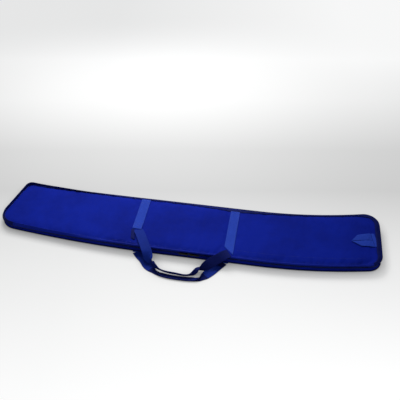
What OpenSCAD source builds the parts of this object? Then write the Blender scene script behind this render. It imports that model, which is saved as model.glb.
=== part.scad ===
// Padded soft case for a long telescope tube, lying empty and zipped on its underside.
// It is a clamshell: the lid and the base are padded panels with a low side wall (gusset),
// joined by a zip along the handle side and both ends, and by a fabric hinge on the far side.
// +X runs along the straight middle, +Y to the fabric hinge, +Z up. The origin is the middle
// of the underside. The empty case lies slightly bent in its own plane, so every outline
// is drawn along a spine: s is the distance along it and v the distance across it.

/* [Case] */
// Length along the middle, seam to seam
case_l = 1264; // [1000:10:1500]
// Width of the straight middle, seam to seam
case_w = 216; // [180:1:280]
// Width at the left end, where the case narrows
left_w = 202; // [170:1:280]
// Width at the right end
right_w = 222; // [170:1:280]
// Height from the underside to the top of the lid at its seam
case_h = 32; // [28:1:60]
// Corner radius where the left end meets the handle side
near_left_r = 54; // [15:1:70]
// Corner radius where the left end meets the hinge side
far_left_r = 20; // [12:1:70]
// Corner radius of both corners at the right end
right_r = 42; // [15:1:70]

/* [Bend] */
// Length of the straight stretch to the left of the origin
straight_left = 130; // [60:1:250]
// Length of the straight stretch to the right of the origin
straight_right = 225; // [60:1:260]
// Turn of the left third, in degrees
left_turn = 7; // [1:0.5:12]
// Turn of the right third, in degrees
right_turn = 14.5; // [1:0.5:20]
// Slant of the left end from square, in degrees
left_slant = 4.5; // [0:0.5:12]
// Slant of the right end from square, in degrees
right_slant = 13; // [0:0.5:15]

/* [Cover and padding] */
// Thickness of the laminated outer cover
cover_t = 2.4; // [1.8:0.1:4]
// Thickness of the foam padding
foam_t = 6; // [3:0.5:8]
// Thickness of the lining
lining_t = 0.8; // [0.4:0.1:1.5]
// Thickness of the side wall
gusset_t = 1.2; // [0.6:0.1:2]
// Width of the piping cord in the seams
pipe_d = 4; // [2:0.5:6]
// Thickness of the tape that binds the seams inside
binding_t = 1; // [0.4:0.1:2]

/* [Zip] */
// Thickness of the zip tape
tape_t = 0.6; // [0.4:0.1:1]
// Width of the tape from the coil to its edge
tape_w = 6.8; // [5:0.1:7]
// Height of one half of the coil
coil_h = 1.8; // [1.2:0.1:2.4]
// Thickness of the coil, from outside to inside
coil_t = 2.6; // [1.6:0.1:3]
// Room between the two closed halves of the coil
coil_gap = 1.2; // [0.8:0.1:2]
// Length of a slider
slider_l = 11; // [8:0.5:14]
// Height of a slider's plates
slider_h = 9.2; // [8:0.1:11]
// Thickness of a slider's plates
plate_t = 1.4; // [1:0.1:2]
// Place of the closed sliders along the handle side
slider_x = 20; // [-40:1:60]
// Length of a pull
pull_l = 27; // [18:1:40]
// Radius of the pin that a pull turns on
pin_r = 0.8; // [0.6:0.05:1]

/* [Webbing] */
// Width of the webbing
web_w = 32; // [20:1:38]
// Thickness of the webbing
web_t = 1.4; // [1:0.1:1.6]
// Place of the left strap along the case
strap_left_x = -168; // [-185:1:-140]
// Place of the right strap along the case
strap_right_x = 146; // [130:1:180]
// Place of the left strap under the base
base_left_x = -152; // [-185:1:-140]
// Place of the right strap under the base
base_right_x = 133; // [115:1:180]
// Distance from the middle to the sewn end of the lid's left strap
strap_left_end = 40; // [20:1:60]
// Distance from the middle to the long side of the lid's right strap
strap_right_end = 104; // [80:1:106]
// Width of a handle's folded grip
grip_w = 16; // [12:1:20]
// Thickness of a handle's folded grip
grip_t = 4.8; // [3:0.1:6]
// Length of the loose loop at the right end
hang_l = 71; // [50:1:100]
// Length of the webbing that holds the loop at the end seam
hang_anchor_l = 11; // [8:0.5:16]

/* [Hidden] */
$fn = 48;

clear = 0.3;            // room between pieces that move past each other
wall_in = 0.4;          // how far the side wall stands in from the seam
side_steps = 24;        // points along each long side
corner_steps = 6;       // points round each corner
half_l = case_l / 2;
mid_z = case_h / 2;

// Insets from the seam, counted inwards
tape_in = wall_in + gusset_t;
coil_in = tape_in + tape_t / 2 - coil_t / 2;
bind_in = tape_in + tape_t + clear;
foam_in = bind_in + binding_t + clear;

// Heights
base_inner_z = cover_t + foam_t + lining_t;
lid_inner_z = case_h - base_inner_z;
coil_lo = mid_z - coil_gap / 2 - coil_h;
coil_hi = mid_z + coil_gap / 2;
tape_show = 3.6;        // tape left free between the side wall and the coil
gusset_h = coil_lo - cover_t - tape_show;
pipe_drop = 0.5;        // top of the lid's piping below the top of the lid
lid_pipe_z = case_h - pipe_d - pipe_drop;
base_pipe_z = web_t + 0.2;

blue = [0.07, 0.13, 0.55];
navy = [0.03, 0.05, 0.3];
web_blue = [0.18, 0.27, 0.66];
black = [0.06, 0.06, 0.09];

// ---- The bent outline ----

// Position on the spine: [x, y, heading in degrees]
function bend(run, turn, len) =
    let (r = len / turn * 180 / PI, a = turn * run / len) [r * sin(a), r * (1 - cos(a)), a];
function spine(s) =
    s > straight_right
        ? let (b = bend(s - straight_right, right_turn, half_l - straight_right))
            [straight_right + b[0], b[1], b[2]]
    : s < -straight_left
        ? let (b = bend(-s - straight_left, left_turn, half_l - straight_left))
            [-straight_left - b[0], b[1], -b[2]]
    : [s, 0, 0];
function place(s, v) = let (p = spine(s)) [p[0] - v * sin(p[2]), p[1] + v * cos(p[2])];

// Half the width at s: even over the straight middle, then changing steadily to each end
function half_w(s) =
    s > straight_right
        ? (case_w + (right_w - case_w) * (s - straight_right) / (half_l - straight_right)) / 2
    : s < -straight_left
        ? (case_w + (left_w - case_w) * (-s - straight_left) / (half_l - straight_left)) / 2
    : case_w / 2;

// Corner centres in [s, v], for a corner of radius r on the side given by sign (-1 near, 1 far)
function centre_at(s, r, sign) = [s, sign * (half_w(s) - r)];
function left_c(r, sign) =
    let (v = sign * (half_w(-half_l + r) - r))
    centre_at(-half_l + v * tan(left_slant) + r / cos(left_slant), r, sign);
function right_c(r, sign) =
    let (v = sign * (half_w(half_l - r) - r))
    centre_at(half_l + v * tan(right_slant) - r / cos(right_slant), r, sign);
function corner(c, r, from, to) =
    [for (i = [0:corner_steps]) let (a = from + (to - from) * i / corner_steps) c + r * [cos(a), sin(a)]];
function side(from, to, sign, inset) =
    [for (i = [1:side_steps - 1]) let (s = from + (to - from) * i / side_steps) [s, sign * (half_w(s) - inset)]];

// The whole outline, drawn in from the seam by inset
function outline(inset) =
    let (nl = left_c(near_left_r, -1), fl = left_c(far_left_r, 1),
         nr = right_c(right_r, -1), fr = right_c(right_r, 1))
    [for (p = concat(
        side(nl[0], nr[0], -1, inset),
        corner(nr, right_r - inset, -90, -right_slant),
        corner(fr, right_r - inset, -right_slant, 90),
        side(fr[0], fl[0], 1, inset),
        corner(fl, far_left_r - inset, 90, 180 - left_slant),
        corner(nl, near_left_r - inset, 180 - left_slant, 270)
    )) place(p[0], p[1])];

module plate(inset, z0, z1) {
    translate([0, 0, z0]) linear_extrude(z1 - z0) polygon(outline(inset));
}

module band(inset, thick, z0, z1) {
    translate([0, 0, z0]) linear_extrude(z1 - z0) difference() {
        polygon(outline(inset));
        polygon(outline(inset + thick));
    }
}

// The hinge side: from s0 to s1 along the spine, from the middle line outwards
hinge_start = 12;       // from a far corner's centre to the fabric hinge
hinge_gap = 0.2;        // between the fabric hinge and the base's side wall
lid_gap = 0.8;          // between the fabric hinge and the lid's side wall
hinge_s0 = left_c(far_left_r, 1)[0] + hinge_start;
hinge_s1 = right_c(right_r, 1)[0] - hinge_start;
module hinge_zone(grow) {
    s0 = hinge_s0 - grow;
    s1 = hinge_s1 + grow;
    translate([0, 0, -10]) linear_extrude(case_h + 20) polygon(concat(
        [for (i = [0:side_steps]) place(s0 + (s1 - s0) * i / side_steps, 0)],
        [for (i = [side_steps:-1:0]) place(s0 + (s1 - s0) * i / side_steps, case_w)]
    ));
}

// Puts its children on the case with their X along the spine
module on_case(s, v, z) {
    p = place(s, v);
    translate([p[0], p[1], z]) rotate([0, 0, spine(s)[2]]) children();
}

// ---- Base ----

// Webbing flush in the underside, from the far seam to the near one
strap_run = case_w - 2 * wall_in;
near_y = -case_w / 2;
hinge_y = near_y - pipe_d - 3;   // the line that the base handle swings about
seat = 0.01;            // room round a strap let into the cover

module base_strap(x, room) {
    translate([x - web_w / 2 - room, hinge_y + clear, -room])
        cube([web_w + 2 * room, strap_run + near_y - hinge_y, web_t + room]);
}

module base_cover() {
    color(blue) difference() {
        plate(0, 0, cover_t);
        base_strap(base_left_x, seat);
        base_strap(base_right_x, seat);
    }
}

module base_foam() {
    color([0.75, 0.75, 0.78]) plate(foam_in, cover_t, cover_t + foam_t);
}

module base_lining() {
    color(black) plate(foam_in, cover_t + foam_t, base_inner_z);
}

module base_binding() {
    color(black) band(bind_in, binding_t, cover_t, coil_lo - tape_w - clear);
}

module base_piping() {
    color(navy) band(-pipe_d, pipe_d, base_pipe_z, base_pipe_z + pipe_d);
}

module base_gusset() {
    color(blue) difference() {
        band(wall_in, gusset_t, cover_t, cover_t + gusset_h);
        hinge_zone(0);
    }
}

module hinge_gusset() {
    color(blue) intersection() {
        band(wall_in, gusset_t, cover_t, lid_pipe_z - clear);
        hinge_zone(-hinge_gap);
    }
}

module base_zip_tape() {
    color(black) difference() {
        band(tape_in, tape_t, coil_lo - tape_w, coil_lo);
        hinge_zone(0);
    }
}

module base_zip_coil() {
    color(black) difference() {
        band(coil_in, coil_t, coil_lo, coil_lo + coil_h);
        hinge_zone(0);
    }
}

// A short bar sewn to the tape at each end of the coil, beside the fabric hinge
stop_l = 4;
stop_h = 3.2;
stop_room = 0.2;        // thread and glue between a stop and the tape
stop_s = 3;             // from the end of the coil to the middle of a stop
function flare(s) = atan((half_w(s + 1) - half_w(s - 1)) / 2);
module zip_end_stops() {
    color(black) for (s = [hinge_s0 - stop_s, hinge_s1 + stop_s])
        on_case(s, half_w(s) - tape_in + stop_room, coil_lo - stop_h)
            rotate([0, 0, flare(s)]) translate([-stop_l / 2, 0, 0])
                cube([stop_l, gusset_t, stop_h]);
}

// ---- Lid ----

module lid_cover() {
    color(blue) plate(0, case_h - cover_t, case_h);
}

module lid_foam() {
    color([0.75, 0.75, 0.78]) plate(foam_in, lid_inner_z + lining_t, case_h - cover_t);
}

module lid_lining() {
    color(black) plate(foam_in, lid_inner_z, lid_inner_z + lining_t);
}

module lid_binding() {
    color(black) band(bind_in, binding_t, coil_hi + coil_h + tape_w + clear, case_h - cover_t);
}

module lid_piping() {
    color(navy) band(-pipe_d, pipe_d, lid_pipe_z, lid_pipe_z + pipe_d);
}

module lid_gusset() {
    color(blue) difference() {
        band(wall_in, gusset_t, case_h - cover_t - gusset_h, case_h - cover_t);
        hinge_zone(lid_gap);
    }
}

module lid_zip_tape() {
    color(black) difference() {
        band(tape_in, tape_t, coil_hi + coil_h, coil_hi + coil_h + tape_w);
        hinge_zone(lid_gap);
    }
}

module lid_zip_coil() {
    color(black) difference() {
        band(coil_in, coil_t, coil_hi, coil_hi + coil_h);
        hinge_zone(lid_gap);
    }
}

// ---- Zip sliders: an outer and an inner plate joined by a thin wall between the coils ----

plate_room = 0.5;                          // between a plate and the coil
plate_out = coil_in - plate_room;          // inset of the outer plate's inner face
plate_in = coil_in + coil_t + plate_room;  // inset of the inner plate's outer face
pin_y = plate_out - plate_t - 2;           // inset of the pull's pin
slider_gap = 2;                            // between the two closed sliders
throat_l = 4;                              // length of the wall between the coils
ear_t = 1.2;
ear_l = 3.6;
ear_edge = 1;                              // ear left beyond the pin's middle
knuckle_r = pin_r + 0.9;
pull_t = 1.2;
pull_z = slider_h - 3;                     // height of a pull
pin_play = 0.08;
eye_r = 1.6;                               // hole near a pull's free end
eye_end = 5;                               // from the hole's middle to that end

// dir is -1 for the slider that opens to the left and 1 for the other
module zip_slider(dir) {
    translate([slider_x + dir * (slider_l + slider_gap) / 2, near_y, mid_z]) {
        translate([-slider_l / 2, plate_out - plate_t, -slider_h / 2])
            cube([slider_l, plate_t, slider_h]);
        translate([-slider_l / 2, plate_in, -slider_h / 2])
            cube([slider_l, plate_t, slider_h]);
        translate([-throat_l / 2, plate_out, -coil_gap / 4])
            cube([throat_l, plate_in - plate_out, coil_gap / 2]);
        for (side = [-1, 1])
            translate([-ear_l / 2, pin_y - ear_edge, side * (pull_z / 2 + clear + ear_t / 2) - ear_t / 2])
                cube([ear_l, plate_out - plate_t - pin_y + ear_edge, ear_t]);
        translate([0, pin_y, -pull_z / 2 - clear - ear_t / 2])
            cylinder(r = pin_r, h = pull_z + 2 * clear + ear_t);
    }
}

module zip_pull(dir) {
    translate([slider_x + dir * (slider_l + slider_gap) / 2, near_y + pin_y, mid_z]) difference() {
        union() {
            translate([0, 0, -pull_z / 2]) cylinder(r = knuckle_r, h = pull_z);
            translate([dir > 0 ? 0 : -pull_l, -pull_t / 2, -pull_z / 2]) cube([pull_l, pull_t, pull_z]);
        }
        translate([0, 0, -pull_z]) cylinder(r = pin_r + pin_play, h = 2 * pull_z);
        translate([dir * (pull_l - eye_end), 2 * pull_t, 0]) rotate([90, 0, 0])
            cylinder(r = eye_r, h = 4 * pull_t);
    }
}

module zip_slider_left() {
    color(black) zip_slider(-1);
}

module zip_slider_right() {
    color(black) zip_slider(1);
}

module zip_pull_left() {
    color(black) zip_pull(-1);
}

module zip_pull_right() {
    color(black) zip_pull(1);
}

// ---- Webbing ----

module base_strap_left() {
    color(web_blue) base_strap(base_left_x, 0);
}

module base_strap_right() {
    color(web_blue) base_strap(base_right_x, 0);
}

module lid_strap_left() {
    color(web_blue) translate([strap_left_x - web_w / 2, -strap_left_end, case_h])
        cube([web_w, case_w / 2 + strap_left_end, web_t]);
}

// The right strap folds under along a slanting line, where the handle leaves it
module lid_strap_right() {
    color(web_blue) translate([strap_right_x, 0, case_h]) linear_extrude(web_t) polygon([
        [-web_w / 2, case_w / 2], [-web_w / 2, web_w - strap_right_end],
        [web_w / 2, -strap_right_end], [web_w / 2, case_w / 2]
    ]);
}

// A handle is one length of webbing, folded lengthwise and sewn double along the grip.
// Each station holds the middle of the webbing, the direction from its outer edge to its
// inner edge, its width and its thickness there.
function norm_of(v) = v / norm(v);
function way(st, i) =
    norm_of(st[min(i + 1, len(st) - 1)][0] - st[max(i - 1, 0)][0]);
function ring(st, i) =
    let (c = st[i][0], w = norm_of(st[i][1]) * st[i][2] / 2,
         n = norm_of(cross(way(st, i), w)) * st[i][3] / 2)
    [c - w - n, c + w - n, c + w + n, c - w + n];

module webbing(st) {
    k = len(st);
    polyhedron(
        points = [for (i = [0:k - 1]) each ring(st, i)],
        faces = concat(
            [[0, 1, 2], [0, 2, 3]],
            [for (i = [0:k - 2], j = [0:3]) [4 * i + j, 4 * i + 4 + j, 4 * i + (j + 1) % 4]],
            [for (i = [0:k - 2], j = [0:3])
                [4 * i + (j + 1) % 4, 4 * i + 4 + j, 4 * i + 4 + (j + 1) % 4]],
            [[4 * k - 4, 4 * k - 2, 4 * k - 3], [4 * k - 4, 4 * k - 1, 4 * k - 2]]
        )
    );
}

leg_t = web_t + 0.2;     // the webbing where it is loose
up = case_h;
ny = near_y;
lx = strap_left_x;
rx = strap_right_x;
gx = (strap_left_x + strap_right_x) / 2;   // middle of the grips
lid_route = [
    [[lx + 6, -strap_left_end - 4, up + 2.2], [1, 0, 0], web_w, leg_t],
    [[lx + 24, ny + 32, up + 6], [0.97, 0.25, 0], web_w, leg_t],
    [[lx + 41, ny, up + 6], [0.85, 0.5, 0], web_w, leg_t],
    [[lx + 55, ny - 25, up + 1], [0.83, 0.55, 0.1], web_w, leg_t],
    [[lx + 64, ny - 42, 22], [0.88, 0.3, 0.36], 28, leg_t],
    [[lx + 74, ny - 55, 15.5], [0.55, 0.05, 0.8], 24, 2.4],
    [[lx + 88, ny - 65, 15], [-0.2, -0.35, 0.9], 19, 3.6],
    [[gx - 51, ny - 74, 11.5], [-0.1, -0.45, 0.88], grip_w, grip_t],
    [[gx, ny - 81, 9], [0, -0.45, 0.9], grip_w, grip_t],
    [[gx + 47, ny - 79, 9], [0.1, -0.45, 0.88], grip_w, grip_t],
    [[rx - 94, ny - 68, 11.5], [0.1, -0.2, 0.95], 20, 3.5],
    [[rx - 80, ny - 53, 15], [-0.35, 0, 0.93], 26, 2.2],
    [[rx - 64, ny - 40, web_w / 2], [-0.6, 0.35, 0.72], web_w, leg_t],
    [[rx - 47, ny - 25, up - 11], [-0.62, 0.6, 0.5], web_w, leg_t],
    [[rx - 28, ny - 13, up - 4], [-0.48, 0.7, 0.5], web_w, leg_t],
    [[rx - 10, ny - 1, up + 3.4], [-0.5, 0.82, 0.25], web_w, leg_t]
];
base_route = [
    [[base_left_x, hinge_y - clear, 1], [1, 0, 0], web_w, leg_t],
    [[base_left_x + 18, ny - 15, 1], [0.88, 0.45, 0], web_w, leg_t],
    [[base_left_x + 29, ny - 33, 1], [0.75, 0.66, 0], web_w, leg_t],
    [[base_left_x + 51, ny - 61, 1.3], [0.6, 0.8, 0], 30, 2],
    [[base_left_x + 77, ny - 80, 2], [0.4, 0.92, 0], 22, 3.2],
    [[gx - 41, ny - 88, 2.7], [0.1, 1, 0], grip_w, grip_t],
    [[gx + 11, ny - 93, 2.7], [0, 1, 0], grip_w, grip_t],
    [[gx + 59, ny - 90, 2.7], [-0.1, 1, 0], grip_w, grip_t],
    [[base_right_x - 62, ny - 84, 2], [-0.5, 0.86, 0], 24, 3.2],
    [[base_right_x - 39, ny - 56, 1.1], [-0.74, 0.67, 0], web_w, leg_t],
    [[base_right_x - 14, ny - 21, 1], [-0.84, 0.54, 0], web_w, leg_t],
    [[base_right_x, hinge_y - clear, 1], [-1, 0, 0], web_w, leg_t]
];

module base_handle() {
    color(web_blue) webbing(base_route);
}

module lid_handle() {
    color(web_blue) webbing(lid_route);
}

// The hang loop: both legs side by side, meeting in a folded point, lying on the lid
end_room = 15.4;        // from the sewn end to the end seam
hang_s = half_l - hang_anchor_l - end_room;
hang_v = -10;
hang_half = web_w - 2;  // half the width of both legs
anchor_gap = 0.4;       // between the loop and its sewn end
point_l = 26;           // length of the folded point
point_in = 5;           // how far the shoulders of the point draw in
slit_l = 43;            // length of the slit between the legs
slit_w = 1.2;

module hang_loop_anchor() {
    color(web_blue) on_case(hang_s, hang_v, case_h)
        translate([anchor_gap, -hang_half, 0]) cube([hang_anchor_l, 2 * hang_half, web_t]);
}

module hang_loop() {
    shoulder = hang_l - point_l;
    color(web_blue) on_case(hang_s, hang_v, case_h + clear) linear_extrude(2 * web_t)
        difference() {
            polygon([[0, -hang_half], [0, hang_half], [-shoulder, hang_half - point_in],
                [-hang_l, 0], [-shoulder, point_in - hang_half]]);
            translate([-hang_l - 1, -slit_w / 2]) square([slit_l + 1, slit_w]);
        }
}

base_cover();
base_foam();
base_lining();
base_binding();
base_piping();
base_gusset();
base_zip_tape();
base_zip_coil();
zip_end_stops();
hinge_gusset();
lid_cover();
lid_foam();
lid_lining();
lid_binding();
lid_piping();
lid_gusset();
lid_zip_tape();
lid_zip_coil();
zip_slider_left();
zip_slider_right();
zip_pull_left();
zip_pull_right();
base_strap_left();
base_strap_right();
lid_strap_left();
lid_strap_right();
base_handle();
lid_handle();
hang_loop_anchor();
hang_loop();
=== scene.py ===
# A long padded soft case for a telescope tube, lying empty and zipped on a pale surface.
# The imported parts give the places. Sizes that they don't say are repeated from the part's source.
import math

import bmesh
import bpy
import numpy as np
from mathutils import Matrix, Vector, noise
from mathutils.bvhtree import BVHTree


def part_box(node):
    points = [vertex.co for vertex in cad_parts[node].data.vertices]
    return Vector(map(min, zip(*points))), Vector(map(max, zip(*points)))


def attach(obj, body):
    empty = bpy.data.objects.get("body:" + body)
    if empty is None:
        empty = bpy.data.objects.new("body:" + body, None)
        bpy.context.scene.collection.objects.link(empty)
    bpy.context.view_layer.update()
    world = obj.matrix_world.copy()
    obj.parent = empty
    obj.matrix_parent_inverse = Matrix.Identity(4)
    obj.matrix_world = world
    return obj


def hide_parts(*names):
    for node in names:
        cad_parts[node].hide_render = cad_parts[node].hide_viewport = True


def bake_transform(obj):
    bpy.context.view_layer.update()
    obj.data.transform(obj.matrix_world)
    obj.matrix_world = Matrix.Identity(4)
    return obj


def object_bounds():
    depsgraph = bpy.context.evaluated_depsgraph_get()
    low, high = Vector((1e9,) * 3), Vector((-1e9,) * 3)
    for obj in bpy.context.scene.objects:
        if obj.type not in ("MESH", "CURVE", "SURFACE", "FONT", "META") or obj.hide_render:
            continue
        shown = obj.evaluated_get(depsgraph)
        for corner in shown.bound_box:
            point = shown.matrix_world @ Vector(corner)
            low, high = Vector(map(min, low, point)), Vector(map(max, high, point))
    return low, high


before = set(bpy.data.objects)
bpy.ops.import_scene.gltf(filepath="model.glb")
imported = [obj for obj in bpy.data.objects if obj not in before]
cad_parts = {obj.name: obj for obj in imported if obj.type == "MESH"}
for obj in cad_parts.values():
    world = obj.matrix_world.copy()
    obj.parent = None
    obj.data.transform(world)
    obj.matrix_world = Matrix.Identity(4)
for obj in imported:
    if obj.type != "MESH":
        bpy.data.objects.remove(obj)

cad_low, cad_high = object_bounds()
MM = 0.001

# ---- The pale surface, the light and the camera ----
# Matt paper on the ground, painted paler towards the back and the front and darker beside the
# case: painted shade of the sweep. Seen from the camera it also glows, brighter towards the right
# as painted light and darkened close to the case as a painted contact shadow. One large soft lamp
# hangs behind and to the left, so the handle side lies in its own shade.


def shader(name, colour, rough, specular, metal=0.0):
    mat = bpy.data.materials.new(name)
    mat.use_nodes = True
    tree = mat.node_tree
    main = tree.nodes["Principled BSDF"]
    main.inputs["Base Color"].default_value = (*colour, 1)
    main.inputs["Roughness"].default_value = rough
    main.inputs["Specular IOR Level"].default_value = specular
    main.inputs["Metallic"].default_value = metal
    return mat, tree, main


def add(tree, kind, **values):
    node = tree.nodes.new(kind)
    for key, value in values.items():
        if key in node.inputs:
            node.inputs[key].default_value = value
        else:
            setattr(node, key, value)
    return node


def ramp(tree, source, stops):
    node = tree.nodes.new("ShaderNodeValToRGB")
    tree.links.new(source, node.inputs["Fac"])
    bar = node.color_ramp.elements
    while len(bar) < len(stops):
        bar.new(0.5)
    for element, (at, colour) in zip(bar, stops):
        element.position = at
        element.color = (*colour, 1)
    return node.outputs["Color"]


def shown(name, data):
    piece = bpy.data.objects.new(name, data)
    bpy.context.scene.collection.objects.link(piece)
    return piece


def mesh_piece(name, points, faces, mats, uvs=None, turned=True):
    mesh = bpy.data.meshes.new(name)
    mesh.from_pydata([tuple(p) for p in points], [], [tuple(f) for f in faces])
    if uvs is not None:
        layer = mesh.uv_layers.new(name="run")
        index = np.zeros(len(mesh.loops), int)
        mesh.loops.foreach_get("vertex_index", index)
        layer.data.foreach_set("uv", np.asarray(uvs, np.float32)[index].ravel())
    if turned:
        work = bmesh.new()
        work.from_mesh(mesh)
        bmesh.ops.recalc_face_normals(work, faces=work.faces)
        work.to_mesh(mesh)
        work.free()
    for mat in mats:
        mesh.materials.append(mat)
    mesh.polygons.foreach_set("use_smooth", [True] * len(mesh.polygons))
    return shown(name, mesh)


def mixed(tree, share, first, second, output):
    """Shows the first finish, and as much of the second as share says."""
    link = tree.links.new
    both = add(tree, "ShaderNodeMixShader")
    link(share, both.inputs["Fac"])
    link(first.outputs[0], both.inputs[1])
    link(second.outputs[0], both.inputs[2])
    link(both.outputs[0], tree.nodes[output].inputs["Surface"])


floor_half = 9.0
floor_z = cad_low.z - 0.3 * MM
sweep_turn = math.radians(-9.5)
painted_shadow_reach = 45 * MM
own_glow = 0.5
floor_mat, tree, main = shader("paper", (0.8, 0.8, 0.8), 0.9, 0.1)
link = tree.links.new
where = add(tree, "ShaderNodeTexCoord").outputs["Object"]
turn = add(tree, "ShaderNodeMapping", Rotation=(0, 0, sweep_turn))
link(where, turn.inputs["Vector"])
depth = add(tree, "ShaderNodeSeparateXYZ")
link(turn.outputs["Vector"], depth.inputs[0])
share = add(tree, "ShaderNodeMapRange", **{"From Min": -0.7, "From Max": 1.3})
link(depth.outputs["Y"], share.inputs["Value"])
# The paper's colour is darker beside and behind the case: painted shade.
paper_painted_shade = ramp(tree, share.outputs["Result"], [
    (0.05, (0.99, 0.99, 0.985)), (0.21, (0.82, 0.82, 0.815)), (0.335, (0.70, 0.70, 0.695)),
    (0.457, (0.55, 0.55, 0.546)), (0.574, (0.59, 0.59, 0.586)), (0.75, (0.82, 0.82, 0.815)),
    (0.92, (0.98, 0.98, 0.975))])
link(paper_painted_shade, main.inputs["Base Color"])
# For camera rays the paper glows. lift makes the glow brighter towards the right: painted light.
glow = add(tree, "ShaderNodeEmission")
lift = add(tree, "ShaderNodeMapRange",
           **{"From Min": -0.4, "From Max": 0.8, "To Min": 1.27, "To Max": 1.55})
link(depth.outputs["X"], lift.inputs["Value"])
link(lift.outputs["Result"], glow.inputs["Strength"])
# Ambient occlusion darkens the glow close to the case: a painted contact shadow.
painted_contact_shadow = add(tree, "ShaderNodeAmbientOcclusion", Distance=painted_shadow_reach)
painted_contact_shadow.samples = 8
link(paper_painted_shade, painted_contact_shadow.inputs["Color"])
link(painted_contact_shadow.outputs["Color"], glow.inputs["Color"])
rays = add(tree, "ShaderNodeLightPath")
part = add(tree, "ShaderNodeMath", operation="MULTIPLY")
part.inputs[1].default_value = own_glow
link(rays.outputs["Is Camera Ray"], part.inputs[0])
mixed(tree, part.outputs[0], main, glow, "Material Output")
corners = [(x * floor_half, y * floor_half, floor_z) for x, y in ((-1, -1), (1, -1), (1, 1), (-1, 1))]
floor = mesh_piece("paper_sweep", corners, [(0, 1, 2, 3)], [floor_mat], turned=False)

world = bpy.data.worlds.new("room")
bpy.context.scene.world = world
world.use_nodes = True
tree = world.node_tree
link = tree.links.new
dim = tree.nodes["Background"]
dim.inputs["Color"].default_value = (0.95, 0.97, 1, 1)
dim.inputs["Strength"].default_value = 0.36
white = add(tree, "ShaderNodeBackground", Strength=0.95)
white.inputs["Color"].default_value = (1, 1, 1, 1)
rays = add(tree, "ShaderNodeLightPath")
first = add(tree, "ShaderNodeMath", operation="MAXIMUM")
link(rays.outputs["Is Camera Ray"], first.inputs[0])
link(rays.outputs["Is Transmission Ray"], first.inputs[1])
mixed(tree, first.outputs[0], dim, white, "World Output")


def hung(name, data, at, target):
    """A lamp or camera at one place, turned towards another."""
    piece = shown(name, data)
    piece.location = at
    piece.rotation_euler = (Vector(target) - Vector(at)).to_track_quat("-Z", "Y").to_euler()
    return piece


soft_box = bpy.data.lights.new("soft_box", "AREA")
soft_box.shape = "RECTANGLE"
soft_box.size = 1.1
soft_box.size_y = 0.8
soft_box.energy = 9.5
soft_box.spread = math.radians(90)
hung("soft_box", soft_box, at=(-0.45, 1.15, 1.35), target=(-0.2, 0.0, 0.0))

camera_data = bpy.data.cameras.new("camera")
camera_data.lens = 55.4
camera_data.sensor_width = 36
bpy.context.scene.camera = hung("camera", camera_data, at=(0.2756, -1.4189, 1.5004),
                                target=(0.010, 0.168, 0.0))
bpy.context.scene.view_settings.view_transform = "Standard"

# ---- The outline that every seam follows ----
# The empty case lies a little bent in its own plane. s runs along its middle and v across it,
# and the seam is a closed line at both long sides and round four soft corners.
case_l = 1264 * MM
mid_w = 216 * MM
left_w = 202 * MM
right_w = 222 * MM
near_left_r = 54 * MM
far_left_r = 20 * MM
right_r = 42 * MM
straight_left = 130 * MM
straight_right = 225 * MM
left_turn = math.radians(7)
right_turn = math.radians(14.5)
left_slant = math.radians(4.5)
right_slant = math.radians(13)
half_l = case_l / 2
seam_step_l = 4 * MM
settle_from, settle_run, settle_share = -0.2, 0.43, 0.3


def spine(s):
    s = np.asarray(s, float)
    right_run = half_l - straight_right
    left_run = half_l - straight_left
    a = np.clip(s - straight_right, 0, None) / right_run * right_turn
    b = np.clip(-s - straight_left, 0, None) / left_run * left_turn
    ra, rb = right_run / right_turn, left_run / left_turn
    x = np.clip(s, -straight_left, straight_right) + ra * np.sin(a) - rb * np.sin(b)
    y = ra * (1 - np.cos(a)) + rb * (1 - np.cos(b))
    return x, y, a - b


def place(s, v):
    x, y, heading = spine(s)
    return np.stack([x - v * np.sin(heading), y + v * np.cos(heading)], -1)


def half_w(s):
    s = np.asarray(s, float)
    a = np.clip((s - straight_right) / (half_l - straight_right), 0, None)
    b = np.clip((-s - straight_left) / (half_l - straight_left), 0, None)
    return (mid_w + (right_w - mid_w) * a + (left_w - mid_w) * b) / 2


def corner_middle(r, side, end):
    slant = left_slant if end < 0 else right_slant
    v = side * (half_w(end * (half_l - r)) - r)
    s = end * half_l + v * math.tan(slant) - end * r / math.cos(slant)
    return float(s), float(side * (half_w(s) - r))


def arc(middle, r, start, stop):
    t = np.radians(np.linspace(start, stop, 17))
    return np.stack([middle[0] + r * np.cos(t), middle[1] + r * np.sin(t)], -1)


def long_side(start, stop, side):
    s = np.linspace(start, stop, 161)[1:-1]
    return np.stack([s, side * half_w(s)], -1)


near_left, far_left = corner_middle(near_left_r, -1, -1), corner_middle(far_left_r, 1, -1)
near_right, far_right = corner_middle(right_r, -1, 1), corner_middle(right_r, 1, 1)
loop_sv = np.concatenate([
    long_side(near_left[0], near_right[0], -1),
    arc(near_right, right_r, -90, -math.degrees(right_slant)),
    arc(far_right, right_r, -math.degrees(right_slant), 90),
    long_side(far_right[0], far_left[0], 1),
    arc(far_left, far_left_r, 90, 180 - math.degrees(left_slant)),
    arc(near_left, near_left_r, 180 - math.degrees(left_slant), 270)])


def along(points):
    steps = np.linalg.norm(np.diff(points, axis=0), axis=1)
    return np.concatenate([[0], np.cumsum(steps)])


def unit(ways):
    return ways / np.linalg.norm(ways, axis=1)[:, None]


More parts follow.
